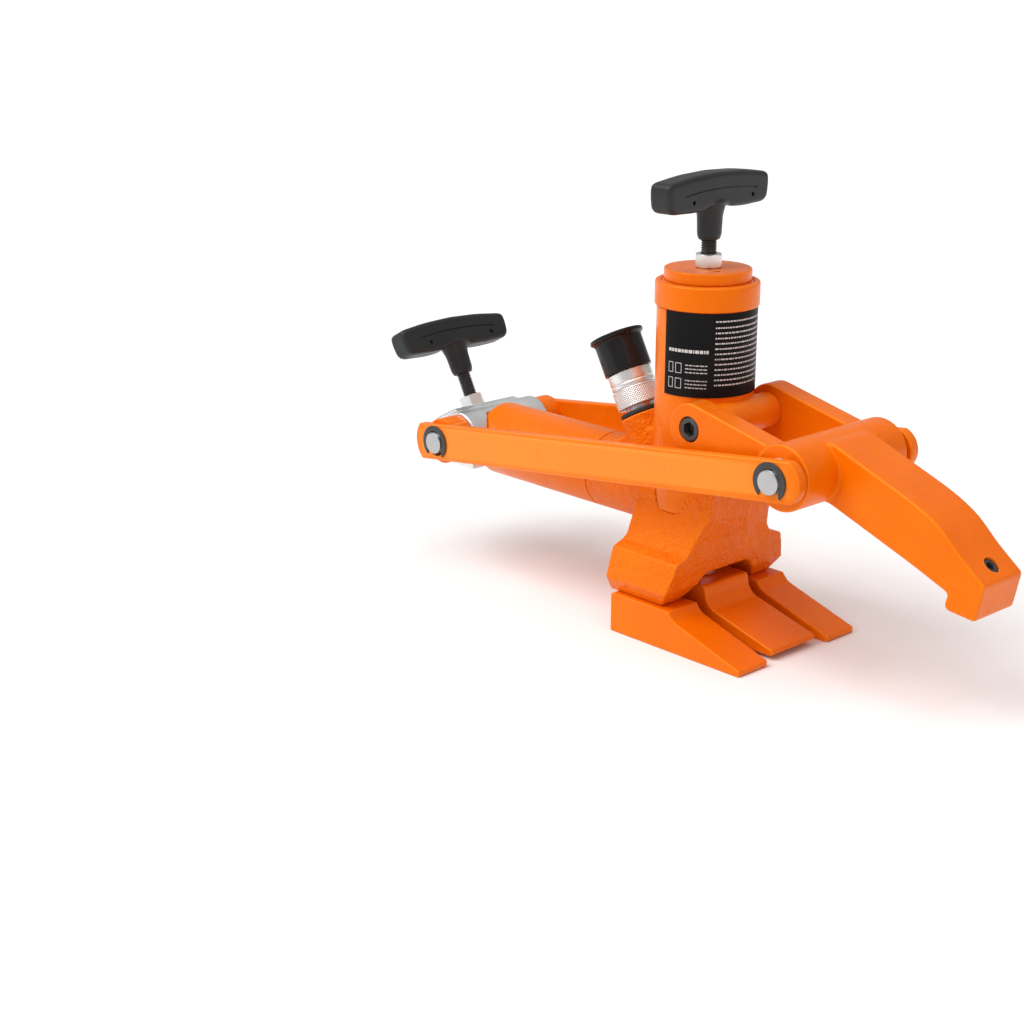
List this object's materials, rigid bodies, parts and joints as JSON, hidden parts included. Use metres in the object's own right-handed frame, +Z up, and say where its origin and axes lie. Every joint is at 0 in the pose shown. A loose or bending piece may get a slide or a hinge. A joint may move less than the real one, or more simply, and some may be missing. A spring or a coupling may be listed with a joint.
{
  "type": "bead breaker",
  "caption": "Hydraulic bead breaker: a clamp ram hooks its arm over the wheel rim and a push ram drives a wedge tongue down between two fixed fingers to press off the tyre bead.",
  "frame": {"origin": "on the plane of the sole, under the axis of the upright push ram", "axes": "+X towards the fingers and the hook, +Z up along the push ram, +Y across the tool, away from the side with the front link"},
  "size_m": [0.5797, 0.144, 0.3497],
  "materials": {
    "orange_paint": "glossy sprayed paint over a cast and machined surface",
    "zinc": "bright zinc plating",
    "steel": "turned steel",
    "chrome": "hard chrome",
    "black_steel": "black oxide",
    "bronze": "machined bearing bronze",
    "rubber": "black nitrile",
    "grip_plastic": "satin dark grey moulding",
    "cap_plastic": "glossy black moulding",
    "label": "printed black label sheet"
  },
  "bodies": {
    "frame": {"foot_block": "orange_paint", "foot_bolt_1": "black_steel", "foot_bolt_2": "black_steel", "foot_bolt_3": "black_steel", "foot_bolt_4": "black_steel", "body_casting": "orange_paint", "ram_barrel": "orange_paint", "rod_bush": "bronze", "ram_collar": "orange_paint", "ram_end_cap": "orange_paint", "cap_seal_ring": "rubber", "rating_label": "label", "clamp_housing": "orange_paint", "clamp_gland_ring": "bronze", "coupler_nipple": "steel", "coupler_seal": "rubber", "coupler_lock_ring": "zinc", "top_nut": "zinc", "pivot_screw_front": "black_steel", "pivot_screw_rear": "black_steel", "ram_return_spring": "steel", "clamp_return_spring": "steel"},
    "push_ram": {"ram_piston": "steel", "ram_piston_seal": "rubber", "ram_piston_rod": "chrome", "push_tongue": "orange_paint", "tongue_screw": "black_steel"},
    "arm": {"clamp_arm": "orange_paint", "hook_grub_screw": "black_steel", "right_pin": "zinc", "right_circlip_front": "black_steel", "right_circlip_rear": "black_steel", "front_washer": "zinc", "rear_washer": "zinc"},
    "links": {"front_link": "orange_paint", "rear_link": "orange_paint"},
    "plunger": {"clamp_plunger": "zinc", "plunger_seal": "rubber", "left_pin": "zinc", "left_circlip_front": "black_steel", "left_circlip_rear": "black_steel", "side_nut": "zinc"},
    "top_handle": {"top_stud": "black_steel", "top_grip": "grip_plastic"},
    "side_handle": {"side_stud": "black_steel", "side_grip": "grip_plastic"},
    "sleeve": {"coupler_sleeve": "zinc"},
    "valve": {"coupler_poppet": "steel"},
    "cap": {"dust_cap": "cap_plastic"}
  },
  "joints": [
    {"name": "push_ram_stroke", "type": "slide", "parent": "frame", "child": "push_ram", "axis": [0, 0, -1], "range_m": [0, 0.08], "stiffness_N_per_m": 900, "springref_m": -0.06, "deforming": ["ram_return_spring"]},
    {"name": "arm_swing", "type": "hinge", "parent": "frame", "child": "arm", "pos_m": [0.0338, 0, 0.1705], "axis": [0, 1, 0], "range_deg": [0, 32], "stiffness_Nm_per_rad": 20, "springref_deg": -34.38},
    {"name": "link_swing", "type": "hinge", "parent": "arm", "child": "links", "pos_m": [0.1235, 0, 0.1534], "axis": [0, 1, 0], "range_deg": [-25, 0]},
    {"name": "plunger_stroke", "type": "slide", "parent": "frame", "child": "plunger", "axis": [-1, 0, 0], "range_m": [0, 0.024], "deforming": ["clamp_return_spring"]},
    {"name": "top_handle_turn", "type": "hinge", "parent": "frame", "child": "top_handle", "pos_m": [0, 0, 0.279], "axis": [0, 0, 1], "continuous": true},
    {"name": "side_handle_turn", "type": "hinge", "parent": "plunger", "child": "side_handle", "pos_m": [-0.2642, 0, 0.122], "axis": [-0.4695, 0, 0.8829], "continuous": true},
    {"name": "sleeve_turn", "type": "hinge", "parent": "frame", "child": "sleeve", "pos_m": [-0.0622, 0, 0.155], "axis": [-0.4848, 0, 0.8746], "continuous": true},
    {"name": "valve_stroke", "type": "slide", "parent": "frame", "child": "valve", "axis": [0.4848, 0, -0.8746], "range_m": [0, 0.0038], "stiffness_N_per_m": 600, "springref_m": -0.003},
    {"name": "cap_pull", "type": "slide", "parent": "frame", "child": "cap", "axis": [-0.4848, 0, 0.8746], "range_m": [0, 0.03]}
  ],
  "couplings": [
    {"joint": "link_swing", "follows": "arm_swing", "ratio": -0.7713},
    {"joint": "plunger_stroke", "follows": "arm_swing", "m_per_rad": 0.04268}
  ]
}
